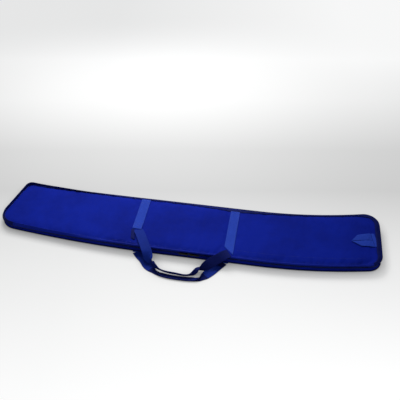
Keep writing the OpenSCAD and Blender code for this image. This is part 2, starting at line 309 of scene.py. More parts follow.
# The seam's stations: their places, outward directions, and distances run
closed_sv = np.vstack([loop_sv, loop_sv[:1]])
run = along(place(closed_sv[:, 0], closed_sv[:, 1]))
seam_n = int(run[-1] / seam_step_l)
seam_run = np.arange(seam_n) * run[-1] / seam_n
seam_s = np.interp(seam_run, run, closed_sv[:, 0])
seam_v = np.interp(seam_run, run, closed_sv[:, 1])
seam_xy = place(seam_s, seam_v)
seam_step = unit(np.roll(seam_xy, -1, 0) - np.roll(seam_xy, 1, 0))
seam_out = np.stack([seam_step[:, 1], -seam_step[:, 0]], -1)
for _ in range(3):
    seam_out = unit(seam_out + np.roll(seam_out, 1, 0) + np.roll(seam_out, -1, 0))


def settled(points):
    """The points as they lie in the empty case, which is thinner towards its left end."""
    points = np.array(points, float)
    t = np.clip((settle_from - points[:, 0]) / settle_run, 0, 1)
    points[:, 2] *= 1 - settle_share * t * t * (3 - 2 * t)
    return points


# ---- Outer cover of the lid ----
# Blue coated nylon over a thin laminated pad, cut a little larger than its seam so that it
# swells between the sewn lines. It is sewn down under both straps and at the hang loop.
case_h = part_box("lid_cover")[1].z
cover_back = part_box("lid_cover")[0].z
WAVE_PERIOD = 2 * math.pi / 20


def noise_on(tree, at, **values):
    node = add(tree, "ShaderNodeTexNoise", **values)
    tree.links.new(at, node.inputs["Vector"])
    return node.outputs["Fac"]


def woven(name, colour, dark, rough=0.78, sheen=0.0, pitch=0.75 * MM, depth=0.00012, uv=None,
          slack=0.0):
    """Plain-woven cloth: two crossed rows of threads, a cloudy colour, and ripples as deep as slack."""
    mat, tree, main = shader(name, colour, rough, 0.05)
    main.inputs["Sheen Weight"].default_value = sheen
    main.inputs["Sheen Roughness"].default_value = 0.45
    main.inputs["Sheen Tint"].default_value = (0.2, 0.3, 1.0, 1)
    link = tree.links.new
    if uv:
        where = add(tree, "ShaderNodeUVMap", uv_map=uv).outputs["UV"]
    else:
        where = add(tree, "ShaderNodeTexCoord").outputs["Object"]
    threads = []
    for direction in ("X", "Y"):
        wave = add(tree, "ShaderNodeTexWave", bands_direction=direction, Scale=WAVE_PERIOD / pitch,
                   Distortion=0.6)
        wave.inputs["Detail Scale"].default_value = 0.6
        link(where, wave.inputs["Vector"])
        threads.append(wave.outputs["Fac"])
    cross = add(tree, "ShaderNodeMath", operation="SUBTRACT")
    link(threads[0], cross.inputs[0])
    link(threads[1], cross.inputs[1])
    over = add(tree, "ShaderNodeMath", operation="ABSOLUTE")
    link(cross.outputs[0], over.inputs[0])
    cloud = noise_on(tree, where, Scale=7.0, Detail=5.0, Roughness=0.6)
    tone = ramp(tree, cloud, [(0.32, dark), (0.62, colour)])
    shade = add(tree, "ShaderNodeMix", data_type="RGBA", blend_type="MULTIPLY")
    shade.inputs["Factor"].default_value = 0.35
    link(tone, shade.inputs["A"])
    link(ramp(tree, over.outputs[0], [(0.0, (0.62, 0.62, 0.66)), (0.7, (1, 1, 1))]), shade.inputs["B"])
    link(shade.outputs["Result"], main.inputs["Base Color"])
    rub = add(tree, "ShaderNodeMapRange", **{"To Min": rough - 0.08, "To Max": rough + 0.1})
    link(noise_on(tree, where, Scale=90.0, Detail=3.0), rub.inputs["Value"])
    link(rub.outputs["Result"], main.inputs["Roughness"])
    bump = add(tree, "ShaderNodeBump", Strength=0.6, Distance=depth)
    link(over.outputs[0], bump.inputs["Height"])
    soft = add(tree, "ShaderNodeBump", Strength=0.35, Distance=0.0012)
    link(noise_on(tree, where, Scale=38.0, Detail=2.0), soft.inputs["Height"])
    link(soft.outputs["Normal"], bump.inputs["Normal"])
    if slack:
        stretch = add(tree, "ShaderNodeMapping", Scale=(1.0, 0.45, 1.0), Rotation=(0, 0, 0.5))
        link(where, stretch.inputs["Vector"])
        fold = noise_on(tree, stretch.outputs["Vector"], Scale=13.0, Detail=2.0, Roughness=0.45)
        loose = add(tree, "ShaderNodeBump", Strength=1.0, Distance=slack)
        link(fold, loose.inputs["Height"])
        link(loose.outputs["Normal"], soft.inputs["Normal"])
    link(bump.outputs["Normal"], main.inputs["Normal"])
    return mat


def spaced(length, fine, coarse):
    """Shares from 0 to 1, close together near both ends and about coarse apart in between."""
    edge = np.cumsum([0, 1.5, 2, 2.5, 3, 3.5, 4]) * fine
    inner = np.linspace(edge[-1], length - edge[-1], max(3, int((length - 2 * edge[-1]) / coarse)))
    return np.concatenate([edge[:-1], inner, (length - edge[:-1])[::-1]]) / length


def edge_mask(n, m):
    mask = np.zeros((n, m), bool)
    mask[[0, -1], :] = True
    mask[:, [0, -1]] = True
    return mask


def quads(ids):
    """The four-sided faces of a grid of numbered points."""
    return np.stack([ids[:-1, :-1], ids[1:, :-1], ids[1:, 1:], ids[:-1, 1:]], -1).reshape(-1, 4)


def patch(inset, coarse):
    """A grid of places inside the seam, in rows along the case, and each one's distance to it."""
    ring = seam_xy - seam_out * inset
    past = 30 * MM
    mid = {}
    for key, (centre, side, end) in {"nl": (near_left, -1, -1), "fl": (far_left, 1, -1),
                                     "nr": (near_right, -1, 1), "fr": (far_right, 1, 1)}.items():
        corner = place(centre[0] + end * past, centre[1] + side * past)
        mid[key] = int(np.argmin(np.linalg.norm(ring - corner, axis=1)))

    def edge_line(a, b, shares):
        line = ring[np.arange(mid[a], mid[a] + (mid[b] - mid[a]) % seam_n + 1) % seam_n]
        far = along(line)
        at = np.asarray(shares) * far[-1]
        return np.stack([np.interp(at, far, line[:, 0]), np.interp(at, far, line[:, 1])], -1)

    us = spaced(case_l, MM, coarse)
    vs = spaced(mid_w, MM, coarse)
    near = edge_line("nl", "nr", us)
    far = edge_line("fr", "fl", 1 - us[::-1])[::-1]
    right = edge_line("nr", "fr", vs)
    left = edge_line("fl", "nl", 1 - vs[::-1])[::-1]
    u, v = us[:, None, None], vs[None, :, None]
    grid = ((1 - v) * near[:, None] + v * far[:, None] + (1 - u) * left[None] + u * right[None]
            - (1 - u) * (1 - v) * near[0] - u * (1 - v) * near[-1]
            - (1 - u) * v * far[0] - u * v * far[-1])
    flat = grid.reshape(-1, 2)
    gap = np.min([np.linalg.norm(flat - p, axis=1) for p in ring], axis=0)
    gap[edge_mask(len(us), len(vs)).ravel()] = 0
    return grid, gap.reshape(len(us), len(vs))


def pad(name, inset, coarse, face_z, back_z, seam_z, roll, mats):
    """A closed flat pad: a soft face, a flat back, and one seam all round where they meet."""
    grid, gap = patch(inset, coarse)
    n, m = gap.shape
    lift = 1 - np.exp(-gap / roll)
    face = seam_z + (face_z - seam_z) * lift
    back = seam_z + (back_z - seam_z) * np.clip(gap / (3 * MM), 0, 1)
    top = np.concatenate([grid, face[..., None]], -1).reshape(-1, 3)
    low = np.concatenate([grid, back[..., None]], -1).reshape(-1, 3)
    rim = edge_mask(n, m)
    number = np.full((n, m), -1)
    number[~rim] = n * m + np.arange((~rim).sum())
    number[rim] = np.arange(n * m).reshape(n, m)[rim]
    face_id = np.arange(n * m).reshape(n, m)
    points = np.concatenate([top, low[~rim.ravel()]])
    faces = np.concatenate([quads(face_id), quads(number)[:, ::-1]])
    return mesh_piece(name, settled(points), faces, mats), gap


def points_of(mesh):
    """The mesh's points, one row each."""
    flat = np.zeros(len(mesh.vertices) * 3, np.float32)
    mesh.vertices.foreach_get("co", flat)
    return flat.reshape(-1, 3)


def swell(piece, free, pressure, grow, cap, frames=20):
    """Blows the free points of a sewn pad up a little, as cloth under air, and keeps the result.
    No point moves further than cap."""
    mesh = piece.data
    before = points_of(mesh).astype(float)
    held = piece.vertex_groups.new(name="sewn")
    held.add([int(i) for i in np.flatnonzero(~free)], 1.0, "REPLACE")
    scene = bpy.context.scene
    scene.frame_set(1)
    cloth = piece.modifiers.new("air", "CLOTH")
    cloth.settings.vertex_group_mass = "sewn"
    cloth.settings.quality = 6
    cloth.settings.mass = 0.25
    cloth.settings.tension_stiffness = 20
    cloth.settings.compression_stiffness = 20
    cloth.settings.shear_stiffness = 8
    cloth.settings.bending_stiffness = 2
    cloth.settings.use_pressure = True
    cloth.settings.uniform_pressure_force = pressure
    cloth.settings.shrink_min = -grow
    cloth.settings.effector_weights.gravity = 0
    cloth.collision_settings.use_collision = False
    cloth.collision_settings.use_self_collision = False
    cloth.point_cache.frame_start = 1
    cloth.point_cache.frame_end = frames
    for f in range(1, frames + 1):
        scene.frame_set(f)
    done = piece.evaluated_get(bpy.context.evaluated_depsgraph_get()).to_mesh()
    move = points_of(done) - before
    piece.modifiers.remove(cloth)
    piece.vertex_groups.remove(held)
    scene.frame_set(1)
    size = np.linalg.norm(move, axis=1)
    move *= (cap * np.tanh(size / cap) / np.maximum(size, 1e-9))[:, None]
    move[~free] = 0
    mesh.vertices.foreach_set("co", (before + move).astype(np.float32).ravel())
    mesh.update()


def smoothed(piece):
    smooth = piece.modifiers.new("smooth", "SUBSURF")
    smooth.levels = smooth.render_levels = 1


lid_mat = woven("blue_nylon", (0.0022, 0.0125, 0.275), (0.0015, 0.0085, 0.195), slack=6 * MM)
lid_panel, lid_gap = pad("lid_panel", inset=0.2 * MM, coarse=6.5 * MM, face_z=case_h + 0.4 * MM,
                         back_z=cover_back + 0.3 * MM, seam_z=cover_back + 0.4 * MM, roll=4.5 * MM,
                         mats=[lid_mat])
at = points_of(lid_panel.data)
free = np.zeros(len(at), bool)
free[:lid_gap.size] = lid_gap.ravel() > 0.8 * MM
sewn_edge = 3 * MM
for name in ("lid_strap_left", "lid_strap_right", "hang_loop_anchor"):
    low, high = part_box(name)
    free &= ~((at[:, 0] > low.x - sewn_edge) & (at[:, 0] < high.x + sewn_edge)
              & (at[:, 1] > low.y - sewn_edge) & (at[:, 1] < high.y + sewn_edge))
swell(lid_panel, free, pressure=2.5, grow=0.015, cap=2.4 * MM)
smoothed(lid_panel)
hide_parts("lid_cover")
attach(lid_panel, "lid")

# ---- Piping ----
# A round cord in a folded strip of the same nylon, caught in the seam between each cover
# and the side wall, all round the lid and all round the base. The base's cord takes a darker
# copy of the nylon: painted shade.
pipe_mat = woven("piping_nylon", (0.0042, 0.0160, 0.290), (0.0030, 0.0110, 0.200), rough=0.6,
                 pitch=0.6 * MM)
# A darker copy of the piping nylon, painted shade for the base's cord and the lid's rolled edge.
piping_painted_shade_mat = woven("nylon_painted_shade", (0.0020, 0.0065, 0.100), (0.0014, 0.0045, 0.065), rough=0.6,
                 pitch=0.6 * MM)
pipe_r = (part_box("lid_piping")[1].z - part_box("lid_piping")[0].z) / 2
pipe_out = pipe_r * 0.95
all_round = np.arange(seam_n)


def waver(run_at, size, seed, length=0.05):
    """A slow, even unevenness along a seam, of about that size."""
    return size * np.array([noise.noise((r / length, seed * 7.3, 0.5)) for r in run_at])


def swept(name, stations, section, mats, wobble=0.0, seed=1, closed=False):
    """A strip or cord along the seam. section holds (outwards, height) pairs round its cut end."""
    section = np.asarray(section, float)
    k, n = len(section), len(stations)
    out = section[None, :, 0] + waver(seam_run[stations], wobble, seed)[:, None]
    rise = section[None, :, 1] + waver(seam_run[stations], wobble, seed + 5)[:, None]
    xy = seam_xy[stations][:, None, :] + seam_out[stations][:, None, :] * out[..., None]
    points = np.concatenate([xy, rise[..., None]], -1).reshape(-1, 3)
    rows = n if closed else n - 1
    faces = [(i * k + j, i * k + (j + 1) % k, (i + 1) % n * k + (j + 1) % k, (i + 1) % n * k + j)
             for i in range(rows) for j in range(k)]
    if not closed:
        faces += [tuple(range(k))[::-1], tuple((n - 1) * k + j for j in range(k))]
    across = along(section)
    length = along(seam_xy[stations])
    uvs = [(length[i], across[j]) for i in range(n) for j in range(k)]
    return mesh_piece(name, settled(points), faces, mats, uvs)


def round_section(middle, radius, parts=12):
    t = np.arange(parts) / parts * 2 * math.pi
    return [(middle[0] + radius * math.cos(a), middle[1] + radius * math.sin(a)) for a in t]


for side in ("lid", "base"):
    low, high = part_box(side + "_piping")
    cord = swept(side + "_piping_cord", all_round,
                 round_section((pipe_out, (low.z + high.z) / 2), pipe_r * 0.98),
                 [pipe_mat if side == "lid" else piping_painted_shade_mat],
                 wobble=0.25 * MM, seed=3 if side == "lid" else 4, closed=True)
    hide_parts(side + "_piping")
    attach(cord, side)

# ---- Side walls ----
# Low strips of the same nylon between the piping and the zip, a little baggy between the
# two seams. They take a paler copy of the nylon, painted light that lifts the shade on them.
# They leave the hinge side free.
# Paler than the cover's nylon: painted light on the shaded walls.
wall_painted_light_mat = woven("wall_nylon_painted_light", (0.0040, 0.0160, 0.340), (0.0028, 0.0110, 0.240))
wall_in = 0.4 * MM
wall_t = 1.2 * MM
hinge_inset = 12 * MM
hinge_start = far_left[0] + hinge_inset
hinge_stop = far_right[0] - hinge_inset
on_hinge = (seam_v > 0) & (seam_s > hinge_start) & (seam_s < hinge_stop)


def stretch_of(mask):
    """The seam's stations where mask holds, in one unbroken run."""
    first = next(i for i in range(seam_n) if mask[i] and not mask[i - 1])
    order = (np.arange(seam_n) + first) % seam_n
    return order[mask[order]]


zip_part = stretch_of(~on_hinge)


def wall_section(low, high, bulge):
    z = np.linspace(low, high, 6)
    bow = bulge * np.sin(np.pi * (z - low) / (high - low))
    outer = [(-wall_in + b, h) for b, h in zip(bow, z)]
    return outer + [(-wall_in - wall_t + b * 0.5, h) for b, h in zip(bow[::-1], z[::-1])]


for side, seed in (("lid", 11), ("base", 12)):
    low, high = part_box(side + "_gusset")
    wall = swept(side + "_wall", zip_part, wall_section(low.z, high.z, bulge=0.9 * MM), [wall_painted_light_mat],
                 wobble=0.45 * MM, seed=seed)
    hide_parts(side + "_gusset")
    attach(wall, side)

# ---- Fabric hinge ----
# One taller strip of the same nylon along the far side, sewn to both covers. It has no zip,
# and stands a little wrinkled between its seams.
hinge_part = stretch_of(on_hinge)
low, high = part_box("hinge_gusset")
rows = np.linspace(low.z, high.z, 15)
rising = np.pi * (rows - low.z) / (high.z - low.z)
bow = (0.9 * np.sin(rising) + 0.5 * np.sin(3 * rising)) * MM
hinge_section = ([(-wall_in + b, z) for b, z in zip(bow, rows)]
                 + [(-wall_in - wall_t + b, z) for b, z in zip(bow[::-1], rows[::-1])])
# The hinge takes the walls' paler copy too: painted light.
hinge_wall = swept("hinge_wall", hinge_part, hinge_section, [wall_painted_light_mat], wobble=0.7 * MM, seed=21)
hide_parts("hinge_gusset")
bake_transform(hinge_wall)

# ---- Zip tapes and coils ----
# Tape with a coil of nylon thread sewn to its edge, one on each side of the opening. The tape is
# coloured as blue as the cover and the coil navy, paler than a dark zip: painted light that lifts
# the shade in the seam's recess. The coils' turns stand half a step apart, so the closed halves mesh.


def row_tree():
    """A small rounded piece set at every spot, turned by the spot's ways ahead and up."""
    tree = bpy.data.node_groups.new("row_of_beads", "GeometryNodeTree")
    face = tree.interface
    face.new_socket("Spots", in_out="INPUT", socket_type="NodeSocketGeometry")
    for label in ("Length", "Width", "Height"):
        face.new_socket(label, in_out="INPUT", socket_type="NodeSocketFloat")
    face.new_socket("Material", in_out="INPUT", socket_type="NodeSocketMaterial")
    face.new_socket("Beads", in_out="OUTPUT", socket_type="NodeSocketGeometry")
    new, link = tree.nodes.new, tree.links.new
    start = new("NodeGroupInput")
    bead = new("GeometryNodeMeshUVSphere")
    bead.inputs["Segments"].default_value = 6
    bead.inputs["Rings"].default_value = 4
    bead.inputs["Radius"].default_value = 0.5
    size = new("ShaderNodeCombineXYZ")
    link(start.outputs["Width"], size.inputs["X"])
    link(start.outputs["Height"], size.inputs["Y"])
    link(start.outputs["Length"], size.inputs["Z"])
    turned = None
    for axis, label, pivot in (("Z", "ahead", "AUTO"), ("Y", "up", "Z")):
        way = new("GeometryNodeInputNamedAttribute")
        way.data_type = "FLOAT_VECTOR"
        way.inputs["Name"].default_value = label
        turn = new("FunctionNodeAlignRotationToVector")
        turn.axis = axis
        turn.pivot_axis = pivot
        link(way.outputs["Attribute"], turn.inputs["Vector"])
        if turned:
            link(turned, turn.inputs["Rotation"])
        turned = turn.outputs["Rotation"]
    each = new("GeometryNodeInstanceOnPoints")
    link(start.outputs["Spots"], each.inputs["Points"])
    link(bead.outputs["Mesh"], each.inputs["Instance"])
    link(turned, each.inputs["Rotation"])
    link(size.outputs["Vector"], each.inputs["Scale"])
    real = new("GeometryNodeRealizeInstances")
    link(each.outputs["Instances"], real.inputs["Geometry"])
    paint = new("GeometryNodeSetMaterial")
    link(real.outputs["Geometry"], paint.inputs["Geometry"])
    link(start.outputs["Material"], paint.inputs["Material"])
    end = new("NodeGroupOutput")
    link(paint.outputs["Geometry"], end.inputs["Beads"])
    return tree


beads = row_tree()


def row_of(name, spots, ahead, up, size, mat):
    """One mesh of small pieces, each size (length, width, height), at the spots."""
    values = dict(zip(("Length", "Width", "Height", "Material"), (*size, mat)))
    mesh = bpy.data.meshes.new(name + "_spots")
    mesh.from_pydata([tuple(p) for p in spots], [], [])
    for label, ways in (("ahead", ahead), ("up", up)):
        way = mesh.attributes.new(label, "FLOAT_VECTOR", "POINT")
        way.data.foreach_set("vector", np.asarray(ways, np.float32).ravel())
    source = shown(name + "_spots", mesh)
    modifier = source.modifiers.new("row", "NODES")
    modifier.node_group = beads
    for socket in beads.interface.items_tree:
        if socket.name in values:
            modifier[socket.identifier] = values[socket.name]
    bpy.context.view_layer.update()
    graph = bpy.context.evaluated_depsgraph_get()
    made = bpy.data.meshes.new_from_object(source.evaluated_get(graph))
    made.name = name
    made.polygons.foreach_set("use_smooth", [True] * len(made.polygons))
    bpy.data.objects.remove(source)
    return shown(name, made)


def at_seam(run_at, stations, out):
    """Places, ways ahead and ways out at distances along some of the seam's stations."""
    line = seam_xy[stations] + seam_out[stations] * out
    far = along(line)
    far_at = np.asarray(run_at) % far[-1]
    xy = np.stack([np.interp(far_at, far, line[:, i]) for i in (0, 1)], -1)
    away = np.stack([np.interp(far_at, far, seam_out[stations][:, i]) for i in (0, 1)], -1)
    return xy, np.stack([-away[:, 1], away[:, 0]], -1), away


# Tape as blue as the cover, paler than a dark zip tape: painted light in the shaded recess.
tape_painted_light_mat = woven("zip_tape", (0.0070, 0.0200, 0.280), (0.0050, 0.0140, 0.190), pitch=0.5 * MM)


def flecked(name, colour, rough, specular, scale, detail, stops, metal=0.0):
    """A smooth finish whose colour varies in fine flecks."""
    mat, tree, main = shader(name, colour, rough, specular, metal=metal)
    where = add(tree, "ShaderNodeTexCoord").outputs["Object"]
    fleck = noise_on(tree, where, Scale=scale, Detail=detail)
    tree.links.new(ramp(tree, fleck, stops), main.inputs["Base Color"])
    return mat, tree, main, fleck


# The coil's navy is lifted above a black coil: painted light in the recess.
coil_painted_light_mat = flecked("zip_coil", (0.0045, 0.0100, 0.110), 0.42, 0.3, scale=300.0, detail=2.0,
                   stops=[(0.3, (0.0035, 0.0080, 0.080)), (0.7, (0.006, 0.014, 0.140))])[0]
tape_in = wall_in + wall_t
tape_t = 0.6 * MM
coil_pitch = 2.2 * MM
coil_across = 2.6 * MM
zip_length = along(seam_xy[zip_part])[-1]
for side, half_step, way in (("lid", 1.0, -1), ("base", 1.5, 1)):
    low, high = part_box(side + "_zip_tape")
    tape = swept(side + "_tape", zip_part, [(-tape_in, low.z), (-tape_in, high.z),
                                            (-tape_in - tape_t, high.z), (-tape_in - tape_t, low.z)],
                 [tape_painted_light_mat])
    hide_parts(side + "_zip_tape")
    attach(tape, side)
    low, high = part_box(side + "_zip_coil")
    spots = np.arange(coil_pitch * half_step, zip_length - coil_pitch, coil_pitch)
    reach = (high.z - low.z) * 1.5
    middle = (low.z + high.z) / 2 + (reach - (high.z - low.z)) / 2 * way
    xy, ahead, away = at_seam(spots, zip_part, -tape_in - tape_t / 2)
    flat = np.zeros(len(spots))
    teeth = row_of(side + "_coil", settled(np.column_stack([xy, flat + middle])),
                   np.column_stack([away, flat]), np.column_stack([flat, flat, flat + 1]),
                   (coil_across, coil_pitch * 0.78, reach), coil_painted_light_mat)
    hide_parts(side + "_zip_coil")
    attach(teeth, side)

# ---- Sliders, pulls and end stops ----
# Die-cast sliders and pulls with a black lacquer, flecked a little paler and smoother at random,
# and two short bars pressed over the ends of the coil.
metal_mat, tree, main, rub = flecked(
    "black_lacquer", (0.006, 0.006, 0.008), 0.34, 0.5, scale=260.0, detail=4.0,
    stops=[(0.45, (0.005, 0.005, 0.007)), (0.75, (0.03, 0.03, 0.034))], metal=0.35)
dull = add(tree, "ShaderNodeMapRange", **{"To Min": 0.28, "To Max": 0.46})
tree.links.new(rub, dull.inputs["Value"])
tree.links.new(dull.outputs["Result"], main.inputs["Roughness"])
for name in ("zip_slider_left", "zip_slider_right", "zip_pull_left", "zip_pull_right", "zip_end_stops"):
    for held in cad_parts[name].material_slots:
        held.material = metal_mat

# ---- Padding and lining inside the lid and the base ----
# Foam sheets covered with thin black nylon. Each stands a little proud between the taped
# seams, so the two halves hold a tube between them.
lining_mat = woven("black_lining", (0.0050, 0.0052, 0.0062), (0.0022, 0.0024, 0.0030), rough=0.55,
                   pitch=0.5 * MM, depth=0.00006)
foam_in = 3.8 * MM
for side in ("lid", "base"):
    lining_low, lining_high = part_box(side + "_lining")
    foam_low, foam_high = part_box(side + "_foam")
    up = 1 if side == "base" else -1
    face = lining_high.z if up > 0 else lining_low.z
    back = foam_low.z + 0.1 * MM if up > 0 else foam_high.z - 0.1 * MM
    inner, gap = pad(side + "_inner_pad", inset=foam_in, coarse=11 * MM, face_z=face - up * 1.2 * MM,
                     back_z=back, seam_z=back + up * 1.5 * MM, roll=3.5 * MM, mats=[lining_mat])
    free = np.zeros(len(inner.data.vertices), bool)
    free[:gap.size] = gap.ravel() > 1.5 * MM
    swell(inner, free, pressure=2.0, grow=0.012, cap=1.4 * MM, frames=12)
    smoothed(inner)
    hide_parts(side + "_lining", side + "_foam")
    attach(inner, side)

# ---- Seam binding ----
# Narrow black tape folded over the raw edges of each seam, on the inside. It runs all round
# the lid and the base and closes the gap beside the lining.
bind_mat = woven("binding_tape", (0.0045, 0.0047, 0.0056), (0.002, 0.002, 0.0026), pitch=0.6 * MM)
bind_in = tape_in + tape_t + 0.3 * MM
bind_t = 1.0 * MM
fold_rise = 0.2 * MM
for side in ("lid", "base"):
    low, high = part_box(side + "_binding")
    section = [(-bind_in, low.z), (-bind_in, high.z), (-bind_in - bind_t, high.z), (-bind_in - bind_t, low.z)]
    corner, fold_z = (4, low.z - fold_rise) if side == "lid" else (2, high.z + fold_rise)
    section.insert(corner, (-bind_in - bind_t * 0.5, fold_z))
    tape = swept(side + "_bound_seam", all_round, section, [bind_mat], wobble=0.15 * MM, seed=41,
                 closed=True)
    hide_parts(side + "_binding")
    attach(tape, side)

# ---- Outer cover of the base ----
# The same laminated nylon. It lies flat on the ground, turns up into the seam all round, and
# is pressed in under the two straps that cross the underside.
cover_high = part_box("base_cover")[1].z
base_panel, gap = pad("base_panel", inset=0.2 * MM, coarse=10 * MM, face_z=0.15 * MM,
                      back_z=cover_high - 0.2 * MM, seam_z=cover_high - 0.4 * MM, roll=2.2 * MM,
                      mats=[lid_mat])
at = points_of(base_panel.data)
press = 2 * MM
under = np.zeros(len(at), bool)
under[:gap.size] = True
for name in ("base_strap_left", "base_strap_right"):
    low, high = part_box(name)
    pressed = under & (at[:, 0] > low.x - press) & (at[:, 0] < high.x + press)
    at[pressed, 2] = np.maximum(at[pressed, 2], high.z + 0.15 * MM)
base_panel.data.vertices.foreach_set("co", at.ravel())
smoothed(base_panel)
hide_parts("base_cover")
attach(base_panel, "base")

# ---- Straps sewn across the lid and the underside ----
# Polypropylene webbing 32 mm wide, paler than the nylon. The left one ends in a straight turned
# edge and the right one in a slanting fold, where the handle leaves them.
web_t = 1.4 * MM
web_look = {"pitch": 1.5 * MM, "depth": 0.0003, "uv": "run"}
web_mat = woven("webbing_face", (0.018, 0.057, 0.450), (0.013, 0.041, 0.350), rough=0.6, sheen=0.03,
                **web_look)


def surface_of(piece):
    """A finder of the highest point of a piece at (x, y)."""
    graph = bpy.context.evaluated_depsgraph_get()
    tree = BVHTree.FromObject(piece, graph)

    def height(x, y, otherwise):
        hit = tree.ray_cast(Vector((x, y, 1.0)), Vector((0, 0, -1)))[0]
        return hit.z if hit else otherwise

    return height


lid_height = surface_of(lid_panel)


def on_lid(x, y, reach=3 * MM):
    """Just above the lid at (x, y), clear of the cloth close by."""
    around = (-reach, 0, reach)
    return max(lid_height(x + i, y + j, case_h - web_t) for i in around for j in around) + 0.2 * MM


def laid(plan, reach=3 * MM):
    """The middle points of webbing that lies on the lid at the rows of places in plan."""
    return np.array([[(*p, on_lid(*p, reach) + web_t / 2) for p in row] for row in plan])


def slab(name, grid, thick, mats, lengths, widths):
    """A strip of webbing round a grid of middle points (along, across, xyz)."""
    n, m = grid.shape[:2]
    ahead = np.gradient(grid, axis=0)
    across = np.gradient(grid, axis=1)
    normal = np.cross(ahead, across)
    normal /= np.maximum(np.linalg.norm(normal, axis=2), 1e-12)[..., None]
    points = np.concatenate([(grid + normal * thick / 2).reshape(-1, 3),
                             (grid - normal * thick / 2).reshape(-1, 3)])
    ids = np.arange(n * m).reshape(n, m)
    flat = quads(ids)
    ring = np.concatenate([ids[:, 0], ids[-1, 1:], ids[-2::-1, -1], ids[0, -2:0:-1]])
    nxt = np.roll(ring, -1)
    sides = np.stack([ring, ring + n * m, nxt + n * m, nxt], -1)
    faces = np.concatenate([flat[:, ::-1], flat + n * m, sides])
    uv = np.stack(np.broadcast_arrays(np.asarray(lengths)[:, None], np.asarray(widths)[None]), -1)
    piece = mesh_piece(name, points, faces, mats, np.concatenate([uv.reshape(-1, 2)] * 2))
    smoothed(piece)
    return piece


def stitches_on(points, step):
    """Spots every step along a line of points, with the ways ahead and up."""
    points = np.asarray(points, float)
    far = along(points)
    at = np.arange(step / 2, far[-1], step)
    spots = np.stack([np.interp(at, far, points[:, i]) for i in range(3)], -1)
    ahead = np.gradient(spots, axis=0) if len(spots) > 1 else np.array([[1.0, 0, 0]])
    return spots, ahead


def line(start, stop):
    """Points on a straight line on the ground plan, about 3 mm apart."""
    start, stop = np.asarray(start, float), np.asarray(stop, float)
    count = max(2, int(np.linalg.norm(stop - start) / (3 * MM)) + 1)
    return start + (stop - start) * np.linspace(0, 1, count)[:, None]


def sewn_rows(name, lines, height, size=(2.6 * MM, 0.55 * MM, 0.5 * MM)):
    """Stitches along plan lines on the lid, each on the surface that height(x, y) gives."""
    spots, ahead = [], []
    for plan in lines:
        points = [(x, y, height(x, y)) for x, y in plan]
        a, b = stitches_on(points, stitch_step)
        spots.append(a)
        ahead.append(b)
    spots, ahead = np.vstack(spots), np.vstack(ahead)
    up = np.tile([0.0, 0.0, 1.0], (len(spots), 1))
    rows = row_of(name, spots, ahead, up, size, thread_mat)
    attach(rows, "lid")


def box_of_stitches(x0, x1, y0, y1):
    """A sewn box with a cross in it."""
    corners = [(x0, y0), (x1, y0), (x1, y1), (x0, y1), (x0, y0)]
    return ([line(a, b) for a, b in zip(corners, corners[1:])]
            + [line((x0, y0), (x1, y1)), line((x1, y0), (x0, y1))])


thread_mat = flecked("blue_thread", (0.020, 0.035, 0.22), 0.5, 0.4, scale=500.0, detail=1.0,
                     stops=[(0.3, (0.012, 0.022, 0.15)), (0.7, (0.03, 0.05, 0.28))])[0]
stitch_step = 3.6 * MM
inset = 2.6 * MM
for side, slant in (("left", 0.0), ("right", 1.0)):
    low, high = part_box("lid_strap_" + side)
    shares = np.linspace(0, 1, 11)
    xs = low.x + (high.x - low.x) * shares
    ends = low.y + slant * (high.x - xs)
    down = np.linspace(0, 1, 45)
    top_y = high.y - 0.6 * MM
    grid = laid([[(x, top_y + (end - top_y) * d) for x, end in zip(xs, ends)] for d in down])
    strap = slab("lid_webbing_" + side, grid, web_t, [web_mat], (top_y - low.y) * down, xs - low.x)
    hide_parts("lid_strap_" + side)
    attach(strap, "lid")
    strap_top = surface_of(strap)
    x0, x1 = low.x + inset, high.x - inset
    lines = [line((x0, top_y - inset), (x0, ends[0] + inset)),
             line((x1, top_y - inset), (x1, ends[-1] + inset))]
    if slant:
        lines += [line((x0, ends[0] + 0.2 * inset), (x1, ends[-1] + 2.2 * inset)),
                  line((x0, ends[0] + 5 * inset), (x1, ends[-1] + 14 * inset))]
    else:
        lines += box_of_stitches(x0, x1, ends[0] + inset, ends[0] + 27 * MM)
    lines += box_of_stitches(x0, x1, top_y - 24 * MM, top_y - 3 * MM)
    sewn_rows("lid_strap_stitches_" + side, lines, lambda x, y: strap_top(x, y, case_h + web_t))

for side in ("left", "right"):
    low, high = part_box("base_strap_" + side)
    xs = np.linspace(low.x, high.x, 7)
    ys = np.linspace(high.y, low.y, 30)
    grid = np.array([[(x, y, low.z + web_t / 2 + 0.05 * MM) for x in xs] for y in ys])
    strap = slab("base_webbing_" + side, grid, web_t * 0.95, [web_mat], high.y - ys, xs - low.x)
    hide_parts("base_strap_" + side)
    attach(strap, "base")

# ---- Handle loops ----
# Each is one length of the same webbing. Its legs lie flat and are folded lengthwise into a
# doubled grip, sewn along its edge. The lid's loop leans on the base's, which lies on the ground.
# The free legs take a darker copy of the webbing, and the grip and the turned-over stretches a
# much darker one: painted shade.
web_w = 32 * MM
crease_r = 1.3 * MM
grip_half = 2.7 * MM
# A darker copy of the webbing for the free legs and a much darker one for the grip: painted shade.
leg_painted_shade_mat = woven("webbing_leg_painted_shade", (0.0070, 0.0270, 0.270), (0.0048, 0.0190, 0.205), rough=0.65, **web_look)
grip_painted_shade_mat = woven("webbing_grip_painted_shade", (0.0050, 0.0110, 0.120), (0.0034, 0.0070, 0.080), rough=0.7, **web_look)


